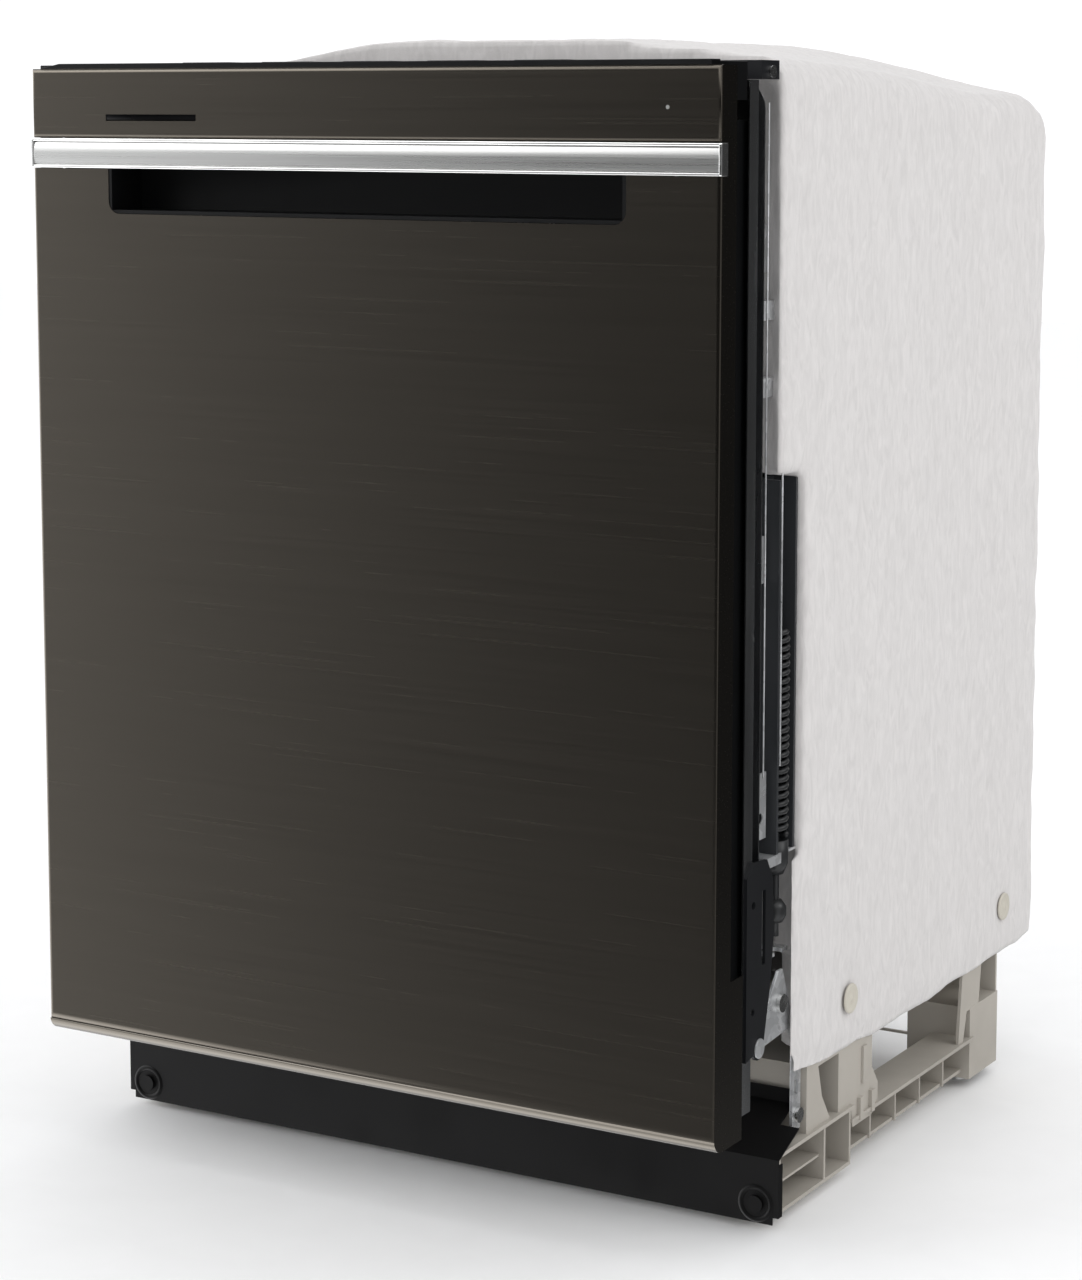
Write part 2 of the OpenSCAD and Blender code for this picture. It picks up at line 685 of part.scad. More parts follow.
module base_side() {
    xo = hw - 6;
    // front foot box, open to the side
    difference() {
        bx(xo - 62, xo, 34, 164, 9, 58);
        bx(xo - 58, xo + 1, 37, 114, 12, 55);
        bx(xo - 58, xo + 1, 117, 161, 12, 55);
    }
    bx(xo - 62, xo + 3, 34, 164, 55, 58);
    bx(xo - 62, xo - 4, 37, 114, 30, 32);
    pipe_z(hw - 34, 59, 9, 55, 11);
    pipe_y(kick_screw_x, 21, 35, 21, 8);
    // post behind the kick, with a sloping rear edge
    side_view(xo - 3, xo - 0.2) polygon([[82, 57], [82, 112], [101, 112], [110, 80], [126, 57]]);
    bx(xo - 24, xo - 2.9, 82, 85, 57, 112);
    // middle post and clipped column
    bx(xo - 3, xo - 0.2, 140, 182, 57, 112);
    bx(xo - 36, xo - 2.9, 140, 143, 57, 112);
    side_view(xo - 3, xo - 0.2)
        polygon([[178, 112], [204, 112], [204, 78], [216, 62], [216, 46], [204, 38],
            [168, 38], [164, 57], [178, 76]]);
    bx(xo - 3, xo + 2, 183, 190, 70, 100);
    bx(xo - 3, xo + 3, 176, 182, 42, 60);
    bx(xo - 3, xo + 3, 198, 204, 42, 60);
    // long rail
    bx(xo - 34, xo - 31, 163, rear - 145, 14, 46);
    bx(xo - 34, xo + 2, 163, rear - 145, 43, 46);
    bx(xo - 34, xo - 8, 163, rear - 145, 14, 17);
    for (d = [214 : 50 : rear - 195]) bx(xo - 34, xo - 6, d, d + 2.5, 14, 46);
    // rear foot box and post
    difference() {
        bx(xo - 58, xo, rear - 150, rear - 88, 9, 72);
        bx(xo - 55, xo - 3, rear - 147, rear - 91, 8, 69);
    }
    pipe_z(hw - 34, rear - 115, 9, 69.5, 11);
    side_view(xo - 3, xo - 0.2)
        polygon([[rear - 167, 112], [rear - 125, 112], [rear - 131, 71], [rear - 157, 71],
            [rear - 165, 44], [rear - 175, 44]]);
    // deck that carries the tub
    bx(lx - 92, xo - 0.2, 82, rear - 88, 106, 112);
    for (d = [deck_rib : 95 : rear - 93]) bx(lx - 90, lx - 4, d, d + 3, 111, tub_floor - 0.1);
}

module base_frame() {
    xo = hw - 6;
    color("#b5afa4") at_flange() difference() {
        union() {
            both() base_side();
            bx(-xo + 1, xo - 1, 82, 85, 60, 112);
            bx(-xo + 1, xo - 1, rear - 91, rear - 88, 20, 112);
            bx(-xo + 60, xo - 60, 34, 38, 9, 26);
        }
        both() pipe_z(hw - 34, 59, 8, 50, 5.2);
        both() pipe_z(hw - 34, rear - 115, 8, 50, 5.2);
        both() pipe_y(kick_screw_x, 20, 44, 21, 2.55);
        bx(-xo + 62, xo - 62, rear - 92, rear - 87, 22, 100);
    }
}

module levelling_feet() {
    color("#8f9294") at_flange() both() for (d = [59, rear - 115]) {
        pipe_z(hw - 34, d, 0, 6, 17);
        pipe_z(hw - 34, d, 5.9, 48, 5);
    }
}

module junction_box() {
    color("#a4a6a8") at_flange() difference() {
        bx(hw - 153, hw - 78, 85.1, 135, 34, 84);
        bx(hw - 151.8, hw - 79.2, 86.3, 133.8, 35.2, 82.8);
        pipe_z(hw - 115, 110, 33, 36, 11);
    }
}

// ---------------------------------------------------------------- racks

module upper_rack() {
    color("#8f9499") at_face() {
        basket(rack_x, rack_front, rack_back, upper_z, 112, 10, 14, 3);
        for (d = [rack_front + 50 : 50 : rack_back - 40])
            pipe_z(-rack_x * 0.6, d, upper_z + 1, upper_z + 62, wire_r);
    }
}

module slide_rails() {
    color("#c3c5c6") at_face() both() {
        bx(tx - 13, tx - 4.2, flange_d + 30, rack_back, upper_z + 50, upper_z + 66);
        bx(rack_x, tx - 12.9, flange_d + 60, flange_d + 84, upper_z + 52, upper_z + 64);
        bx(rack_x, tx - 12.9, rack_back - 60, rack_back - 36, upper_z + 52, upper_z + 64);
    }
}

module upper_spray_hub() {
    color("#63676b") at_face() difference() {
        union() {
            pipe_z(0, mid_d, upper_z - 13, upper_z, 20);
            pipe_z(0, mid_d, upper_z - 26, upper_z - 12.9, 8);
            pipe_y(0, mid_d, rack_back + 1.6, upper_z - 6.5, 5.4);
            pipe_z(0, mid_d, upper_z - 31, upper_z - 25.9, 12);
        }
        pipe_z(0, mid_d, upper_z - 32, upper_z - 15, 3);
    }
}

module spray_blade(z, len, bore) {
    difference() {
        union() {
            translate([0, mid_d, z]) cylinder(r = 24, h = 12);
            hull() for (s = [-1, 1])
                translate([s * len, mid_d + s * 16, z + 2]) cylinder(r = 16, h = 8, $fn = 32);
        }
        translate([0, mid_d, z - 1]) cylinder(r = bore, h = 14);
        for (s = [-1, 1], i = [1 : 5])
            translate([s * len * i / 5.4, mid_d + s * 16 * i / 5.4, z + 8])
                cylinder(r = 2.4, h = 4, $fn = 16);
    }
}

module upper_spray_arm() {
    color("#74787c") at_face() spray_blade(upper_z - 25.6, rack_x - 80, 8.05);
}

module lower_spray_arm() {
    color("#74787c") at_face() spray_blade(tub_floor + 34, rack_x - 90, 12.05);
}

module spray_post() {
    color("#63676b") at_face() {
        pipe_z(0, mid_d, tub_floor + 14.1, tub_floor + 33.8, 18);
        pipe_z(0, mid_d, tub_floor + 33.7, tub_floor + 47, 12);
        pipe_z(0, mid_d, tub_floor + 46.9, tub_floor + 51, 16);
    }
}

module lower_rack() {
    x1 = rack_x - 8;
    color("#8f9499") at_face() {
        basket(x1, rack_front, rack_back, lower_z, 118, 10, 12, 3);
        for (d = [rack_front + 50 : 38 : rack_back - 40], x = [-x1 * 0.6, -x1 * 0.2])
            pipe_z(x, d, lower_z + 1, lower_z + 84, wire_r);
        for (s = [-1, 1], d = [rack_front + 40, rack_back - 40]) {
            pipe_z(s * (x1 - 3), d, lower_z - 26, lower_z + 1, 3);
            pipe_x(s > 0 ? x1 - 6 : -x1 - 10, s > 0 ? x1 + 10 : -x1 + 6, d, lower_z - 24, 3.4);
        }
    }
}

module rack_wheel(s, d) {
    x0 = rack_x - 8;
    z = lower_z - 24;
    color("#7c8186") at_face() mirror([s < 0 ? 1 : 0, 0, 0]) difference() {
        union() {
            pipe_x(x0 + 3.6, x0 + 9, d, z, z - ledge_z - 0.4);
            pipe_x(x0 + 3.2, x0 + 9.6, d, z, 8);
        }
        pipe_x(x0, x0 + 12, d, z, 3.5);
    }
}

module wheel_front_left() { rack_wheel(-1, rack_front + 40); }
module wheel_front_right() { rack_wheel(1, rack_front + 40); }
module wheel_rear_left() { rack_wheel(-1, rack_back - 40); }
module wheel_rear_right() { rack_wheel(1, rack_back - 40); }

module cutlery_basket() {
    x0 = rack_x - 100;
    z0 = lower_z + 2 * wire_r + 0.4;
    color("#6c7176") at_face() difference() {
        bx(x0, rack_x - 16, rack_front + 100, rack_back - 120, z0, z0 + 108);
        for (i = [0 : 2]) {
            step = (rack_back - rack_front - 223) / 3;
            bx(x0 + 2.5, rack_x - 18.5, rack_front + 102.5 + i * step,
                rack_front + 100 + (i + 1) * step, z0 + 3, z0 + 109);
        }
        for (i = [0 : 4], z = [20, 50, 80])
            bx(x0 - 1, rack_x, rack_front + 112 + i * 43, rack_front + 126 + i * 43, z0 + z, z0 + z + 16);
    }
}

door_skin();
handle_bar();
handle_end_caps();
pocket_insert();
door_frame();
door_liner();
dispenser_body();
dispenser_lid();
rinse_cap();
door_vent();
control_strip();
button_power();
button_cycle();
button_option();
button_dry();
button_start();
display_window();
status_light();
control_board();
door_latch();
hinge_arms();
hinge_brackets();
tub();
tub_gasket();
sump();
sump_filter();
wash_pump();
drain_pump();
drain_hose();
heater();
float_dome();
inlet_valve();
feed_tube();
slide_channels();
insulation_blanket();
blanket_studs();
spring_channels();
door_springs();
side_brackets();
spring_shelves();
top_brackets();
bracket_screws();
door_strike();
kick_plate();
kick_screws();
base_frame();
levelling_feet();
junction_box();
upper_rack();
slide_rails();
upper_spray_hub();
upper_spray_arm();
lower_spray_arm();
spray_post();
lower_rack();
wheel_front_left();
wheel_front_right();
wheel_rear_left();
wheel_rear_right();
cutlery_basket();
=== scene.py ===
# %% [markdown]
# # A built-in dishwasher
# The machine is a steel tub wrapped in felt lagging, set on a moulded base, with a heavy drop-down door
# in front. The solid model gives every piece its place. This file dresses it: each finish is worked out
# as a surface pattern, and the soft, coiled and round-wire pieces are made again as fine surfaces.

# %% Load the frame and keep its box
import json
import math
import bmesh
import bpy
import numpy as np
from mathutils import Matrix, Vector


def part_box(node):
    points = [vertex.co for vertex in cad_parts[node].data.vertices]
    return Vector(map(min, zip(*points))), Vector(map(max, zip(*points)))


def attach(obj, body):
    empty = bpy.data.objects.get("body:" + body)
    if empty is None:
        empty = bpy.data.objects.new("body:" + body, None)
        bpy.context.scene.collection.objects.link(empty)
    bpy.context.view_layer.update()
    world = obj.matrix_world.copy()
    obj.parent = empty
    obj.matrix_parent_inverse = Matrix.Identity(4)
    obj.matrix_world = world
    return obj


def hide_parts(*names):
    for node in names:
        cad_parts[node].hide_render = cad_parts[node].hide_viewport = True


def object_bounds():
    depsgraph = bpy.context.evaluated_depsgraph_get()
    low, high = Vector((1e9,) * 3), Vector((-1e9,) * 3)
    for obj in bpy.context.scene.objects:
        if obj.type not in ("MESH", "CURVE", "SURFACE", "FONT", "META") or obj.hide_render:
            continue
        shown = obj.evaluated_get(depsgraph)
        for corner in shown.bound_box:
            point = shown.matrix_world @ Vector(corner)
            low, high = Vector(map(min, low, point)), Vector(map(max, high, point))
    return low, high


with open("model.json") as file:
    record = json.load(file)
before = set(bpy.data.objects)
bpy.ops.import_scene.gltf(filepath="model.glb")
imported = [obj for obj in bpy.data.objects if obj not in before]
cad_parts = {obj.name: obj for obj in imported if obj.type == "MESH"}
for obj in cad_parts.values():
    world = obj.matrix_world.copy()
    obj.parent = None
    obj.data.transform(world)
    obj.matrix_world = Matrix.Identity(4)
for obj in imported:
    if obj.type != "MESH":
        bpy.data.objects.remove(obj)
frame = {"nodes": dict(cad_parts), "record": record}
cad_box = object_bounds()
nodes, record = frame["nodes"], frame["record"]
slot_of = {s["node"]: s["material_slot"] for s in record["subparts"]}
body_of = {n: b for b, names in record["behaviour"]["bodies"].items() for n in names}
print("nodes:", len(nodes), "box:", [[round(c, 3) for c in p] for p in cad_box])

# %% [markdown]
# ## The camera
# The machine is seen from the front and a little to the right, from a long way off, so that the door's
# edges stay nearly upright. A lens of 86 mm keeps the perspective gentle. The frame is slid down a
# little, as a view camera does, so the uprights do not lean while the picture takes in the feet.

# %% Camera
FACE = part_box("door_skin")[0][1]        # depth of the door's face
DOOR_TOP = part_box("door_skin")[1][2]


def place_camera(offset, yaw, pitch, lens, shift):
    """Camera at offset (m) from the door's top front centre, yaw degrees left and pitch degrees down."""
    cam = bpy.data.objects.new("camera", bpy.data.cameras.new("camera"))
    cam.location = (offset[0], FACE + offset[1], DOOR_TOP + offset[2])
    cam.rotation_euler = (math.radians(90 - pitch), 0, math.radians(yaw))
    cam.data.lens, cam.data.sensor_width = lens, 36
    cam.data.shift_y = shift
    cam.data.clip_start, cam.data.clip_end = 0.05, 60
    bpy.context.collection.objects.link(cam)
    bpy.context.scene.camera = cam
    return cam


camera = place_camera((1.262, -1.8942, -0.0259), 30.2, 7.14, 86.2, -0.12)
print("camera at", [round(c, 3) for c in camera.location])

# %% [markdown]
# ## Light and floor
# Steel has no colour of its own to show: it shows what stands round it. A studio hangs dark cloths
# where metal would mirror white walls, and leaves one bright screen on the left, so a dark door shades
# slowly from left to right. Here the room is bright for everything matt, and for mirror-like rays it is
# a dim ring with a bright screen, a bright ceiling, a small glow on the right and a faint one from below.
# The floor itself is left out of reflections.

# %% Room, lamps and floor
def soft_panel(name, place, aim, size, power, tint=(1, 1, 1)):
    """Square lamp of side size (m) at place, facing aim."""
    lamp = bpy.data.objects.new(name, bpy.data.lights.new(name, "AREA"))
    lamp.data.shape, lamp.data.size, lamp.data.energy, lamp.data.color = "SQUARE", size, power, tint
    lamp.location = place
    lamp.rotation_euler = (Vector(aim) - Vector(place)).to_track_quat("-Z", "Y").to_euler()
    bpy.context.collection.objects.link(lamp)


def step_node(tree, value, start, stop, low=0.0, high=1.0):
    """Smooth step of value from start to stop, between low and high."""
    node = tree.nodes.new("ShaderNodeMapRange")
    node.interpolation_type = "SMOOTHSTEP"
    for key, number in (("From Min", start), ("From Max", stop), ("To Min", low), ("To Max", high)):
        node.inputs[key].default_value = number
    tree.links.new(value, node.inputs["Value"])
    return node.outputs["Result"]


def sum_node(tree, kind, a, b):
    """One math node of two inputs, each a socket or a number."""
    node = tree.nodes.new("ShaderNodeMath")
    node.operation = kind
    for socket, value in zip(node.inputs, (a, b)):
        if isinstance(value, (int, float)):
            socket.default_value = value
        else:
            tree.links.new(value, socket)
    return node.outputs[0]


def studio(matt, ring, screen, ceiling, right, below):
    """Room light: even for matt surfaces; mirror rays see ring, screen, ceiling, right and below glows."""
    world = bpy.data.worlds.new("studio")
    bpy.context.scene.world = world
    world.use_nodes = True
    world.cycles.sampling_method = "NONE"
    tree = world.node_tree
    ray = tree.nodes.new("ShaderNodeTexCoord")
    axes = tree.nodes.new("ShaderNodeSeparateXYZ")
    path = tree.nodes.new("ShaderNodeLightPath")
    tree.links.new(ray.outputs["Generated"], axes.inputs[0])
    x, y, z = axes.outputs
    left = sum_node(tree, "ARCTAN2", sum_node(tree, "MULTIPLY", x, -1), sum_node(tree, "MULTIPLY", y, -1))
    rise = step_node(tree, left, math.radians(30), math.radians(68), 0, screen)
    fall = step_node(tree, left, math.radians(80), math.radians(130), 1, 0.15)
    off_right = sum_node(tree, "ABSOLUTE", sum_node(tree, "ADD", left, math.radians(62)), 0)
    side = step_node(tree, off_right, math.radians(10), math.radians(34), right, 0)
    down = sum_node(tree, "MULTIPLY", z, -1)
    glow = sum_node(tree, "ADD", sum_node(tree, "ADD", sum_node(tree, "MULTIPLY", rise, fall), side), ring)
    glow = sum_node(tree, "ADD", glow, step_node(tree, z, 0.25, 0.75, 0, ceiling))
    glow = sum_node(tree, "ADD", glow, step_node(tree, down, 0.26, 0.6, 0, below))
    gloss_or_matt = tree.nodes.new("ShaderNodeMix")
    tree.links.new(path.outputs["Is Glossy Ray"], gloss_or_matt.inputs[0])
    gloss_or_matt.inputs[2].default_value = matt
    tree.links.new(glow, gloss_or_matt.inputs[3])
    tree.nodes["Background"].inputs[0].default_value = (0.985, 0.99, 1.0, 1)
    tree.links.new(gloss_or_matt.outputs[0], tree.nodes["Background"].inputs[1])


studio(matt=1.12, ring=0.035, screen=3.3, ceiling=0.6, right=0.42, below=0.5)
soft_panel("key_left", (-2.6, -3.2, 2.9), (0, 0, 0.5), 2.2, 38)
soft_panel("side_right", (3.4, 0.4, 2.6), (0.2, 0, 0.4), 2.0, 22)
bpy.context.scene.view_settings.view_transform = "Standard"


def grid_faces(rows, cols, wrap_rows=False, wrap_cols=False):
    """Quads of a rows by cols lattice of points, joined round where wrapped."""
    r = np.arange(rows if wrap_rows else rows - 1)[:, None]
    c = np.arange(cols if wrap_cols else cols - 1)[None, :]
    r1, c1 = (r + 1) % rows, (c + 1) % cols
    return np.stack([r * cols + c, r * cols + c1, r1 * cols + c1, r1 * cols + c], -1).reshape(-1, 4)


def mesh_piece(name, verts, faces, smooth=True):
    """A mesh object from an array of points and a list of faces."""
    mesh = bpy.data.meshes.new(name)
    points = np.asarray(verts, float).reshape(-1, 3).tolist()
    mesh.from_pydata(points, [], [list(map(int, f)) for f in faces])
    mesh.update()
    mesh.polygons.foreach_set("use_smooth", np.full(len(mesh.polygons), smooth))
    piece = bpy.data.objects.new(name, mesh)
    bpy.context.collection.objects.link(piece)
    return piece


def floor_sheet(size):
    """Flat square at z = 0: (x, y) runs over [-size, size] each way."""
    x, y = np.meshgrid([-size, size], [-size, size])
    return mesh_piece("floor", np.stack([x, y, 0 * x], -1), grid_faces(2, 2), False)


floor = floor_sheet(9)
floor.visible_glossy = False

# %% [markdown]
# ## Building finishes
# A finish has a colour, a gloss and a small relief, and none is even. Each helper adds one kind of
# unevenness from noise in the object's own coordinates, so a pattern keeps its real size in
# millimetres on every piece. Stretching the noise along one axis turns specks into a brushed grain.

# %% Finish helpers
def base_finish(name, colour, rough, metal=0.0, coat=0.0, ior=1.5, shine=0.5):
    """A principled surface with plain values, to which patterns are added."""
    mat = bpy.data.materials.new(name)
    mat.use_nodes = True
    shader = mat.node_tree.nodes["Principled BSDF"]
    shader.inputs["Base Color"].default_value = (*colour, 1)
    shader.inputs["Roughness"].default_value = rough
    shader.inputs["Metallic"].default_value = metal
    shader.inputs["Coat Weight"].default_value = coat
    shader.inputs["IOR"].default_value = ior
    shader.inputs["Specular IOR Level"].default_value = shine
    return mat


def noise(mat, scale, stretch=(1, 1, 1), detail=3.0, distort=0.0):
    """Noise of scale features a metre, squeezed by stretch along X, Y and Z."""
    tree = mat.node_tree
    where = tree.nodes.new("ShaderNodeTexCoord")
    fit = tree.nodes.new("ShaderNodeMapping")
    tex = tree.nodes.new("ShaderNodeTexNoise")
    fit.inputs["Scale"].default_value = stretch
    tex.inputs["Scale"].default_value = scale
    tex.inputs["Detail"].default_value = detail
    tex.inputs["Distortion"].default_value = distort
    tree.links.new(where.outputs["Object"], fit.inputs["Vector"])
    tree.links.new(fit.outputs["Vector"], tex.inputs["Vector"])
    return tex.outputs["Fac"]


def spread(mat, value, low, high, start=0.3, stop=0.7):
    """value, from start to stop, drawn out to low to high."""
    ramp = mat.node_tree.nodes.new("ShaderNodeMapRange")
    for key, number in (("From Min", start), ("From Max", stop), ("To Min", low), ("To Max", high)):
        ramp.inputs[key].default_value = number
    mat.node_tree.links.new(value, ramp.inputs["Value"])
    return ramp.outputs["Result"]


def tint(mat, value, dark, light):
    """Colour that runs from dark to light as value runs from 0.3 to 0.7."""
    mix = mat.node_tree.nodes.new("ShaderNodeMix")
    mix.data_type = "RGBA"
    mix.inputs[6].default_value, mix.inputs[7].default_value = (*dark, 1), (*light, 1)
    mat.node_tree.links.new(spread(mat, value, 0, 1), mix.inputs[0])
    mat.node_tree.links.new(mix.outputs[2], mat.node_tree.nodes["Principled BSDF"].inputs["Base Color"])


def gloss(mat, value, low, high):
    """Roughness that runs from low to high as value runs from 0.3 to 0.7."""
    shader = mat.node_tree.nodes["Principled BSDF"]
    mat.node_tree.links.new(spread(mat, value, low, high), shader.inputs["Roughness"])


def relief(mat, value, depth, strength=1.0):
    """Bump of depth metres; a second call lies on top of the first."""
    tree, shader = mat.node_tree, mat.node_tree.nodes["Principled BSDF"]
    bump = tree.nodes.new("ShaderNodeBump")
    bump.inputs["Distance"].default_value, bump.inputs["Strength"].default_value = depth, strength
    if shader.inputs["Normal"].is_linked:
        tree.links.new(shader.inputs["Normal"].links[0].from_socket, bump.inputs["Normal"])
    tree.links.new(value, bump.inputs["Height"])
    tree.links.new(bump.outputs["Normal"], shader.inputs["Normal"])


def scaled(colour, k):
    """colour made k times as bright."""
    return tuple(min(1.0, c * k) for c in colour)


print("helpers ready")

# %% [markdown]
# ## Metals
# The door and its bar are brushed along their length, so the grain is noise squeezed hard across the
# height. Zinc-dipped brackets show cloudy spangles instead, and the tub is drawn sheet with a soft,
# almost even sheen. Enamelled steel is a coat with a faint orange-peel surface.

# %% Brushed, zinc and enamel finishes
def brushed(name, colour, rough, along=(3, 500, 500), vary=0.06, depth=4e-6, coat=0.0, streak=1.0):
    """Sanded sheet: fine lines along one axis in gloss, tone and relief; streak scales the gloss lines."""
    mat = base_finish(name, colour, rough, 1.0, coat)
    grain = noise(mat, 1.0, along, 4.0)
    tint(mat, grain, scaled(colour, 1 - vary), scaled(colour, 1 + vary))
    gloss(mat, grain, rough - 0.05 * streak, rough + 0.06 * streak)
    relief(mat, grain, depth, 0.5)
    return mat


def zinc(name, colour, rough):
    """Zinc dip: cloudy crystals a few millimetres wide that differ in tone and gloss."""
    mat = base_finish(name, colour, rough, 0.72)
    tree = mat.node_tree
    where, cells = tree.nodes.new("ShaderNodeTexCoord"), tree.nodes.new("ShaderNodeTexVoronoi")
    cells.inputs["Scale"].default_value = 170
    tree.links.new(where.outputs["Object"], cells.inputs["Vector"])
    split = tree.nodes.new("ShaderNodeSeparateColor")
    tree.links.new(cells.outputs["Color"], split.inputs[0])
    tint(mat, split.outputs[0], scaled(colour, 0.86), scaled(colour, 1.08))
    gloss(mat, noise(mat, 60, detail=5), rough - 0.08, rough + 0.10)
    relief(mat, noise(mat, 240), 2e-5, 0.4)
    return mat


def enamel(name, colour, rough, coat=0.25, peel=1.5e-5, shine=0.5):
    """Baked paint: a smooth coat with a faint ripple and a little dust in its gloss."""
    mat = base_finish(name, colour, rough, 0.0, coat, shine=shine)
    tint(mat, noise(mat, 9, detail=4), scaled(colour, 0.88), scaled(colour, 1.12))
    gloss(mat, noise(mat, 25, detail=5), rough - 0.04, rough + 0.08)
    relief(mat, noise(mat, 320, detail=2), peel, 0.5)
    return mat


finish = {
    "black_stainless": brushed("black_stainless", (0.108, 0.097, 0.082), 0.26, (4, 600, 600), 0.015, 4e-7,
                               streak=0.25),
    "bright_steel": brushed("bright_steel", (0.72, 0.72, 0.71), 0.28, (4, 700, 700), 0.03, 2e-6,
                            streak=0.4),
    "bright_cap": brushed("bright_cap", (0.90, 0.90, 0.89), 0.20, (300, 300, 300), 0.03),
    "tub_steel": brushed("tub_steel", (0.60, 0.61, 0.62), 0.24, (60, 60, 9), 0.04),
    "heater_steel": brushed("heater_steel", (0.36, 0.31, 0.27), 0.36, (90, 90, 90), 0.16),
    "screw_steel": brushed("screw_steel", (0.66, 0.66, 0.65), 0.25, (200, 200, 200), 0.06),
    "galvanised": zinc("galvanised", (0.70, 0.71, 0.72), 0.33),
    "arm_black": enamel("arm_black", (0.010, 0.0105, 0.012), 0.40, 0.0, shine=0.25),
    "kick_paint": enamel("kick_paint", (0.0055, 0.0053, 0.0055), 0.42, 0.0, shine=0.16),
    "spring_steel": enamel("spring_steel", (0.020, 0.021, 0.022), 0.34, 0.1),
}
print("metal finishes:", sorted(finish))

# %% [markdown]
# ## Plastics and rubber
# Moulded parts come out of a spark-eroded steel tool, which leaves a fine even stipple, and the resin
# flows unevenly, which clouds the colour by a few hundredths. Glass-filled base plastic shows the most.

# %% Moulded finishes
def moulded(name, colour, rough, stipple=2.5e-5, cloud=0.06, coat=0.0, shine=0.5):
    """Tool-textured plastic: stipple relief, clouded tone and gloss."""
    mat = base_finish(name, colour, rough, 0.0, coat, 1.46, shine)
    tint(mat, noise(mat, 16, detail=5, distort=0.6), scaled(colour, 1 - cloud), scaled(colour, 1 + cloud))
    gloss(mat, noise(mat, 45, detail=4), rough - 0.05, rough + 0.07)
    relief(mat, noise(mat, 1400, detail=2), stipple, 0.6)
    return mat


finish.update({
    "black_plastic": moulded("black_plastic", (0.0042, 0.0044, 0.0048), 0.44, shine=0.15),
    "gloss_black": moulded("gloss_black", (0.002, 0.002, 0.0025), 0.30, 2e-6, 0.2, shine=0.1),
    "base_plastic": moulded("base_plastic", (0.400, 0.373, 0.332), 0.52, 4e-5, 0.05, shine=0.4),
    "stud_plastic": moulded("stud_plastic", (0.54, 0.51, 0.44), 0.45, 2e-5, 0.04),
    "rubber": moulded("rubber", (0.005, 0.005, 0.006), 0.62, 4e-5, 0.15, shine=0.2),
    "hose_plastic": moulded("hose_plastic", (0.030, 0.032, 0.035), 0.38, 2e-5, 0.10),
    "grey_plastic": moulded("grey_plastic", (0.17, 0.18, 0.19), 0.42),
    "motor": moulded("motor", (0.028, 0.030, 0.034), 0.48),
    "white_plastic": moulded("white_plastic", (0.66, 0.65, 0.62), 0.34, 1e-5, 0.03),
    "circuit": moulded("circuit", (0.02, 0.12, 0.05), 0.35, 1e-5, 0.2),
    "rack_coat": moulded("rack_coat", (0.27, 0.29, 0.31), 0.33, 1.5e-5, 0.05, 0.3),
    "light_lens": moulded("light_lens", (0.26, 0.26, 0.25), 0.25, 2e-6, 0.04, 0.2),
})
print("all finishes:", len(finish))

# %% Floor finish
floor.data.materials.append(moulded("pale_floor", (0.93, 0.93, 0.93), 0.6, 1e-5, 0.01))
print("floor finish:", floor.data.materials[0].name)

# %% [markdown]
# ## Easing the hard pieces
# The solid model's pieces are cut from flat facets. A real pressing or moulding has rolled edges that
# catch a thin line of light, and round parts that shade smoothly. Each piece is copied, its doubled
# points are joined, its round walls are smoothed, and its sharp edges may get a small bevel.

# %% Copy and ease each piece
def eased(node, width=0.0, angle=38, corner=0.0):
    """Welded, smooth-shaded copy of a node; edges bevelled by width, front uprights rolled by corner (m)."""
    bm = bmesh.new()
    bm.from_mesh(nodes[node].data)
    bmesh.ops.remove_doubles(bm, verts=bm.verts, dist=2e-6)
    bmesh.ops.dissolve_limit(bm, angle_limit=math.radians(0.4), verts=bm.verts, edges=bm.edges)
    if corner:
        low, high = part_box(node)
        near = lambda v: high[0] - abs(v.co.x) < 1e-4 and v.co.y - low[1] < 1e-4
        ends = [e for e in bm.edges if all(near(v) for v in e.verts)]
        bmesh.ops.bevel(bm, geom=ends, offset=corner, segments=6, profile=0.5, affect="EDGES")
    mesh = bpy.data.meshes.new(node + "_fine")
    bm.to_mesh(mesh)
    bm.free()
    mesh.polygons.foreach_set("use_smooth", np.full(len(mesh.polygons), True))
    mesh.set_sharp_from_angle(angle=math.radians(angle))
    mesh.materials.clear()
    mesh.materials.append(finish[slot_of[node]])
    piece = bpy.data.objects.new(node + "_fine", mesh)
    bpy.context.collection.objects.link(piece)
    if corner:
        flat = piece.modifiers.new("flat", "WEIGHTED_NORMAL")
        flat.weight = 100
        flat.keep_sharp = True
    if width:
        bevel = piece.modifiers.new("edge", "BEVEL")
        bevel.width = width
        bevel.segments = 2
        bevel.limit_method = "ANGLE"
        bevel.angle_limit = math.radians(angle)
        bevel.harden_normals = True
    return settle(piece, body_of[node], slot_of[node], node)


def settle(piece, body, slot, *stands_for):
    """Give a finished piece its body, its slot and the nodes it stands for."""
    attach(piece, body)
    if not piece.data.materials:
        piece.data.materials.append(finish[slot])
    if stands_for:
        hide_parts(*stands_for)
    return piece


remade = {"insulation_blanket", "door_springs", "upper_rack", "lower_rack", "blanket_studs", "handle_bar"}
bevels = {"handle_end_caps": 0.0006, "kick_plate": 0.0004, "pocket_insert": 0.0012,
          "control_strip": 0.0006, "base_frame": 0.0008, "hinge_arms": 0.0006, "hinge_brackets": 0.0004,
          "side_brackets": 0.0003, "top_brackets": 0.0006, "dispenser_body": 0.0008,
          "dispenser_lid": 0.001, "cutlery_basket": 0.0008, "door_latch": 0.0008, "door_frame": 0.001}
corners = {"door_skin": 0.0032}
for name in sorted(set(nodes) - remade):
    eased(name, bevels.get(name, 0.0), corner=corners.get(name, 0.0))
print("eased pieces:", len(nodes) - len(remade))

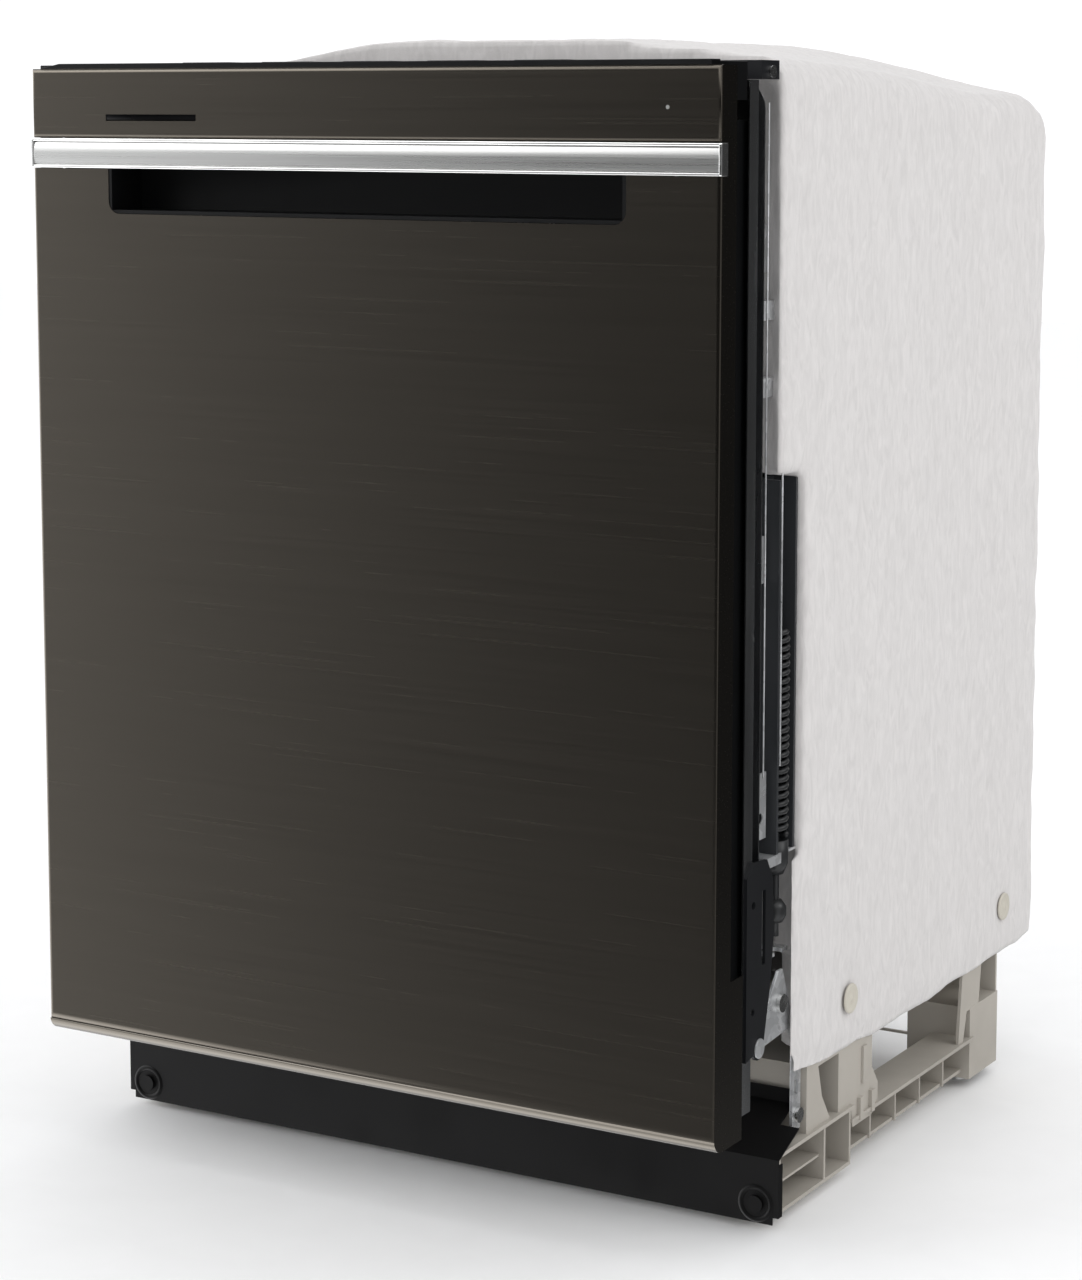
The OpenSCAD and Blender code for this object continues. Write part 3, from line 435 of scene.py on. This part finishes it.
# %% [markdown]
# ## The felt lagging
# Needled felt is a mat of tangled fibres, wrapped round the tub to keep noise in. It bulges where it is
# not held, dips at each push fastener, and its lower edge is cut by hand, so it wanders. The solid
# blanket is remeshed to an even skin, then every point is moved by smooth waves. The fibres themselves
# are a surface pattern: long, bent noise in tone and relief.

# %% Felt finish
def felt(name, colour):
    """Needled fibre mat: broad clouds, long tangled strands and fine fuzz."""
    mat = base_finish(name, colour, 0.92)
    shader = mat.node_tree.nodes["Principled BSDF"]
    shader.inputs["Sheen Weight"].default_value = 0.25
    shader.inputs["Sheen Roughness"].default_value = 0.6
    shader.inputs["Specular IOR Level"].default_value = 0.2
    strands = noise(mat, 1.0, (120, 120, 42), 6, 1.4)
    tint(mat, strands, scaled(colour, 0.91), scaled(colour, 1.05))
    relief(mat, noise(mat, 22, detail=3, distort=0.8), 0.0012, 0.5)
    relief(mat, strands, 0.0009, 0.45)
    relief(mat, noise(mat, 420, detail=4, distort=1.0), 0.00035, 0.5)
    return mat


finish["lagging"] = felt("lagging", (0.562, 0.543, 0.534))
print("felt finish ready")

# %% Lagging mesh
STUDS = [(s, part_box("blanket_studs")[0][1] + d, 0.148) for s in (-1, 1) for d in (0.012, 0.331)]


def waves(p, seed, count, longest, shortest):
    """Sum of count sine waves in seeded directions, with lengths between longest and shortest metres."""
    rng = np.random.default_rng(seed)
    way = rng.normal(size=(count, 3))
    way /= np.linalg.norm(way, axis=1, keepdims=True)
    length = np.exp(rng.uniform(np.log(shortest), np.log(longest), count))
    phase = rng.uniform(0, 2 * np.pi, count)
    size = (length / length.max()) ** 0.8
    return (np.sin(p @ (way / length[:, None]).T * 2 * np.pi + phase) * size).sum(1) / np.sqrt(count)


SAG_DEPTHS = [0.10, 0.267, 0.365, 0.505, 0.60, 0.645]   # behind the door's face, m
SAG_FALLS = [0.0, 0.006, 0.013, 0.025, 0.025, 0.040]
HEM_DEPTHS = [-0.19, -0.10, 0.005, 0.19, 0.28, 0.323]
HEM_LIFTS = [0.009, 0.003, 0.0, 0.001, 0.004, 0.006]


def sag(p):
    """How far (m) the top skin has settled: a smooth step out to the sides times a slow fall to the back."""
    out = np.clip((np.abs(p[:, 0]) - 0.12) / 0.16, 0, 1)
    out = out * out * (3 - 2 * out)
    back = np.interp(p[:, 1] - FACE, SAG_DEPTHS, SAG_FALLS)
    left = np.clip((-p[:, 0] - 0.02) / 0.18, 0, 1)
    return out * back + 0.020 * left * left * (3 - 2 * left) * (1 - 0.5 * out)


def beyond(p, side, back, top):
    """True where a point lies outside side (|x|), back (y) or top (z), in metres."""
    return (np.abs(p[:, 0]) > side) | (p[:, 1] > back) | (p[:, 2] > top)


def lag():
    """Blanket skin: even mesh of the solid, pushed out by waves, with dimples and a wandering hem."""
    source = eased("insulation_blanket")
    even = source.modifiers.new("even", "REMESH")
    even.mode, even.voxel_size = "VOXEL", 0.0062
    done = bpy.data.meshes.new_from_object(source.evaluated_get(bpy.context.evaluated_depsgraph_get()))
    source.modifiers.clear()
    source.data = done
    source.name = "lagging_blanket"
    v = np.empty(len(done.vertices) * 3)
    done.vertices.foreach_get("co", v)
    n = np.empty(len(done.vertices) * 3)
    done.vertex_normals.foreach_get("vector", n)
    v, n = v.reshape(-1, 3), n.reshape(-1, 3)
    outer = beyond(v, 0.285, 0.29, 0.862)
    skin = beyond(v, 0.2745, 0.2805, 0.8485)
    v[:, 2] -= skin * sag(v) * np.clip((v[:, 2] - 0.70) / 0.14, 0, 1)
    swell = 0.0013 * waves(v, 5, 40, 0.30, 0.05) + 0.0005 * waves(v, 8, 60, 0.05, 0.014)
    for s, d, z in STUDS:
        near = np.hypot(v[:, 1] - d, v[:, 2] - z) + 9 * (v[:, 0] * s < 0)
        swell -= 0.0022 * np.exp(-((near / 0.022) ** 2))
    v += n * (swell * outer)[:, None]
    hem = np.interp(v[:, 1], HEM_DEPTHS, HEM_LIFTS)
    ripple = 0.0012 * np.sin(v[:, 1] * 61) * (v[:, 2] < 0.12)
    v[:, 2] += hem * np.clip((0.150 - v[:, 2]) / 0.046, 0, 1) + ripple
    done.vertices.foreach_set("co", v.ravel())
    done.update()
    done.polygons.foreach_set("use_smooth", np.full(len(done.polygons), True))
    return source


blanket = lag()
print("lagging faces:", len(blanket.data.polygons))

# %% [markdown]
# ## Turned, drawn and coiled pieces
# A push fastener or the dish round a screw is a profile turned round an axis. The handle bar is a section
# drawn along a line, and a door spring is a wire carried round a helix. All are the same idea: a curve
# gives the places, and a ring or a section gives the shape.

# %% Turned profiles and swept wires
def turned(centre, axis, profile, steps=48):
    """Profile of (radius, height) pairs turned round axis at centre, closed where the radius is 0."""
    prof = np.asarray(profile, float)
    a = np.linspace(0, 2 * np.pi, steps, endpoint=False)
    ring = np.stack([np.cos(a)[None, :] * prof[:, :1], np.sin(a)[None, :] * prof[:, :1],
                     np.repeat(prof[:, 1:], steps, 1)], -1)
    turn = np.array(Vector((0, 0, 1)).rotation_difference(Vector(axis)).to_matrix())
    return ring @ turn.T + np.asarray(centre), grid_faces(len(prof), steps, wrap_cols=True)


def joined(name, shells, smooth=True):
    """One mesh from several (points, faces) shells."""
    verts, faces, at = [], [], 0
    for points, quads in shells:
        points = np.asarray(points).reshape(-1, 3)
        verts.append(points)
        faces += [list(np.asarray(f) + at) for f in quads]
        at += len(points)
    piece = mesh_piece(name, np.concatenate(verts), faces, smooth)
    bm = bmesh.new()
    bm.from_mesh(piece.data)
    bmesh.ops.remove_doubles(bm, verts=bm.verts, dist=1e-6)
    bmesh.ops.recalc_face_normals(bm, faces=bm.faces)
    bm.to_mesh(piece.data)
    bm.free()
    return piece


def swept(path, radius, sides=10):
    """Tube round a path: each ring lies across the path's direction; both ends are capped to a point."""
    p = np.asarray(path, float)
    t = np.gradient(p, axis=0)
    t /= np.linalg.norm(t, axis=1, keepdims=True)
    up = np.where(np.abs(t[:, 2:]) > 0.95, [[1.0, 0, 0]], [[0, 0, 1.0]])
    u = np.cross(t, up)
    u /= np.linalg.norm(u, axis=1, keepdims=True)
    w = np.cross(t, u)
    a = np.linspace(0, 2 * np.pi, sides, endpoint=False)
    round_it = np.cos(a)[None, :, None] * u[:, None] + np.sin(a)[None, :, None] * w[:, None]
    ring = p[:, None] + radius * round_it
    ring = np.concatenate([np.repeat(p[:1, None], sides, 1), ring, np.repeat(p[-1:, None], sides, 1)])
    return ring, grid_faces(len(ring), sides, wrap_cols=True)


print("turning and sweeping helpers ready")


# %% Handle bar
def drawn_bar(name, low, high, section):
    """Section of (depth, height) points, mm from the top front edge, drawn along X, with capped ends."""
    sec = np.asarray(section, float) / 1000
    at = lambda x: np.stack([np.full(len(sec), x), low[1] + sec[:, 0], high[2] + sec[:, 1]], -1)
    rows = [at(low[0]), at(high[0])]
    ring = list(range(len(sec)))
    caps = [ring[::-1], [len(sec) + i for i in ring]]
    sides = [list(f) for f in grid_faces(2, len(sec), wrap_cols=True)]
    bar = joined(name, [(np.stack(rows), sides + caps)])
    bar.data.set_sharp_from_angle(angle=math.radians(24))
    return bar


low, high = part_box("handle_bar")
deep, tall = 1000 * (high[1] - low[1]), 1000 * (high[2] - low[2])
top_bead = [(deep, 0), (0.8, 0), (0.25, -0.25), (0, -0.8), (0, -1.7), (0.35, -2.2), (2.4, -2.5), (2.4, -3.3)]
upper_face = [(1.5 - 1.2 * t - 0.20 * math.sin(math.pi * t), -3.6 - 7.4 * t) for t in np.linspace(0, 1, 9)]
lower_face = [(0.30 + 0.6 * t * t, -11.0 - (tall - 14.2) * t) for t in np.linspace(0.08, 1, 9)]
bottom_bead = [(1.9, 2.8 - tall), (1.9, 2.3 - tall), (0.35, 2.0 - tall), (0.1, 1.6 - tall),
               (0.1, 0.7 - tall), (0.35, 0.2 - tall), (0.9, -tall), (deep, -tall)]
hollow_back = [(deep, 3 - tall), (4, 3 - tall), (4, -3), (deep, -3)]
section = top_bead + upper_face + lower_face + bottom_bead + hollow_back
bar = drawn_bar("brushed_bar", low, high, section)
settle(bar, body_of["handle_bar"], slot_of["handle_bar"], "handle_bar")
print("bar section points:", len(section))

# %% Push fasteners and screw dishes
def fastener(side, d, z):
    """Dished disc on the felt: a rim, a shallow hollow, and a small raised middle."""
    rim = [(0, 0.0019), (0.0022, 0.0018), (0.0036, 0.0009), (0.0082, 0.0010), (0.0104, 0.0018),
           (0.0117, 0.0014), (0.0120, 0.0004), (0.0116, -0.0003), (0, -0.0003)]
    return turned((side * (cad_box[1][0] - 0.0030), d, z), (side, 0, 0), rim)


fasteners = joined("push_fasteners", [fastener(*at) for at in STUDS])
settle(fasteners, "cabinet", "stud_plastic", "blanket_studs")
DISH = [(0.0098, -0.0005), (0.0108, 0.0004), (0.0120, 0.0010), (0.0134, 0.0009), (0.0146, 0.0002),
        (0.0149, -0.0005), (0.0098, -0.0005)]
SCREW_Z = 0.021
screw_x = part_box("kick_screws")[1][0] - 0.0064
face_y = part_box("kick_screws")[0][1] + 0.0024
dishes = joined("kick_screw_dishes", [turned((s * screw_x, face_y, SCREW_Z), (0, -1, 0), DISH)
                                      for s in (-1, 1)])
settle(dishes, body_of["kick_plate"], slot_of["kick_plate"])
print("fasteners:", len(STUDS), "dishes: 2")

# %% Door springs
CUP = [(0, 0), (0.0062, 0), (0.0095, 0.008), (0.0097, 0.026), (0.0080, 0.0262), (0, 0.024)]
BEAD = [(0, 0), (0.006, 0.001), (0.0086, 0.006), (0.0086, 0.013), (0.005, 0.018), (0, 0.018)]
COIL_TURNS, COIL_R, COIL_FOOT, COIL_RISE = 25, 0.0076, 0.300, 0.154


def coil_wire(side):
    """Helix (cos a, sin a, pitch times a) with a straight stem above and below, a cup and a bead."""
    low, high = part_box("door_springs")
    x, y = side * (high[0] - 0.0097), (low[1] + high[1]) / 2
    a = np.linspace(0, 2 * np.pi * COIL_TURNS, COIL_TURNS * 22)
    z = COIL_FOOT + COIL_RISE * a / a[-1]
    helix = np.stack([x + COIL_R * np.cos(a), y + COIL_R * np.sin(a), z], -1)
    stem = lambda z0, z1, r: swept(np.linspace((x, y, z0), (x, y, z1), 6), r)
    cup = turned((x, y, 0.270), (0, 0, 1), CUP)
    bead = turned((x, y, 0.232), (0, 0, 1), BEAD)
    return [swept(helix, 0.0022, 8), stem(0.222, 0.30, 0.0030), stem(0.452, 0.500, 0.0020), cup, bead]


springs = joined("door_spring_coils", coil_wire(-1) + coil_wire(1))
settle(springs, "cabinet", "spring_steel", "door_springs")
print("spring faces:", len(springs.data.polygons))

# %% [markdown]
# ## The racks
# A rack is drawn steel wire, cut, bent, welded where wires cross and dipped in nylon. Straight wires
# laid over each other show that better than a cut lattice, so each rack is made as bundles of rods:
# long wires under cross wires, uprights round the rim, and two rows of tines.

# %% Round-wire baskets
WIRE_R = 0.0021


def rods(starts, ends, radius, sides=8):
    """Many straight rods at once: a ring of points at each end of every rod, plus end points."""
    a, b = np.asarray(starts, float), np.asarray(ends, float)
    t = (b - a) / np.linalg.norm(b - a, axis=1, keepdims=True)
    up = np.where(np.abs(t[:, 2:]) > 0.9, [[1.0, 0, 0]], [[0, 0, 1.0]])
    u = np.cross(t, up)
    u /= np.linalg.norm(u, axis=1, keepdims=True)
    w = np.cross(t, u)
    g = np.linspace(0, 2 * np.pi, sides, endpoint=False)
    ring = radius * (np.cos(g)[None, :, None] * u[:, None] + np.sin(g)[None, :, None] * w[:, None])
    cap = lambda p, s: p[:, None] + ring * s
    rows = np.stack([cap(a, 0), cap(a, 1), cap(b, 1), cap(b, 0)], 1)
    one = grid_faces(4, sides, wrap_cols=True)
    faces = (one[None] + (np.arange(len(a)) * 4 * sides)[:, None, None]).reshape(-1, 4)
    return rows.reshape(-1, 3), faces


def pairs(*columns):
    """Stack broadcast coordinates into rows of (x, y, z)."""
    return np.stack(np.broadcast_arrays(*map(lambda c: np.asarray(c, float), columns)), -1).reshape(-1, 3)


def wire_basket(name, low, high, nx, ny, tines, height):
    """Basket between two corners: nx long wires, ny cross wires, three rims, uprights and tine rows."""
    r = WIRE_R
    x0, y0, z0 = (c + r for c in low)
    x1, y1, z1 = (c - r for c in high)
    xs, ys = np.linspace(x0, x1, nx), np.linspace(y0, y1, ny)
    shells = [rods(pairs(xs, y0, z0), pairs(xs, y1, z0), r), rods(pairs(x0, ys, z0), pairs(x1, ys, z0), r)]
    shells += [rods(pairs([x0, x1], ys[:, None], z0), pairs([x0, x1], ys[:, None], z1), r)]
    shells += [rods(pairs(xs, [[y0], [y1]], z0), pairs(xs, [[y0], [y1]], z1), r)]
    for z, k in ((z0 + (z1 - z0) * 0.36, 1.0), (z0 + (z1 - z0) * 0.68, 1.0), (z1, 1.35)):
        shells += [rods(pairs([x0, x1], y0, z), pairs([x0, x1], y1, z), r * k),
                   rods(pairs(x0, [y0, y1], z), pairs(x1, [y0, y1], z), r * k)]
    inner = ys[2:-2]
    shells += [rods(pairs(tines, inner[:, None], z0), pairs(tines, inner[:, None], z0 + height), r)]
    return joined(name, shells)


print("wire radius (mm):", 1000 * WIRE_R)

# %% Upper and lower rack
low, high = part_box("upper_rack")
upper = wire_basket("upper_basket", low, high, 13, 15, [low[0] * 0.6, low[0] * 0.28], 0.060)
settle(upper, "upper_rack", "rack_coat", "upper_rack")
low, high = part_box("lower_rack")
reach = high[0] - 0.010
axle_y = [[low[1] + 0.04], [high[1] - 0.04]]
axle_z = low[2] + 0.0054
inner_x = [-reach + 0.006, reach - 0.006]
outer_x = [-reach - 0.010, reach + 0.010]
leg_x = [-reach + 0.003, reach - 0.003]
axle = rods(pairs(inner_x, axle_y, axle_z), pairs(outer_x, axle_y, axle_z), 0.0034, 12)
legs = rods(pairs(leg_x, axle_y, low[2] + 0.003), pairs(leg_x, axle_y, low[2] + 0.032), 0.003)
lower = wire_basket("lower_basket", (-reach, low[1], low[2] + 0.0274), (reach, high[1], high[2]), 13, 15,
                    [-reach * 0.6, -reach * 0.2], 0.082)
running_gear = joined("lower_rack_axles", [axle, legs])
settle(lower, "lower_rack", "rack_coat", "lower_rack")
settle(running_gear, "lower_rack", "rack_coat")
print("rack faces:", len(upper.data.polygons), len(lower.data.polygons))

# %% [markdown]
# ## The channel beside the door
# Two thin bright edges run up the narrow channel between the door and the lagging, where the tub's
# folded sheet is seen edge-on.

# %% Channel edges
EDGES = ((0.0850, 0.352, 0.842), (0.1130, 0.356, 0.62))   # depth behind the face, foot and top, m
edge_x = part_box("door_skin")[1][0] - 0.0052
sides = [-edge_x, edge_x]
edges = joined("channel_edges", [rods(pairs(sides, FACE + d, foot), pairs(sides, FACE + d, top), 0.0007)
                                 for d, foot, top in EDGES])
settle(edges, "cabinet", "galvanised")
print("channel edges:", 2 * len(EDGES))
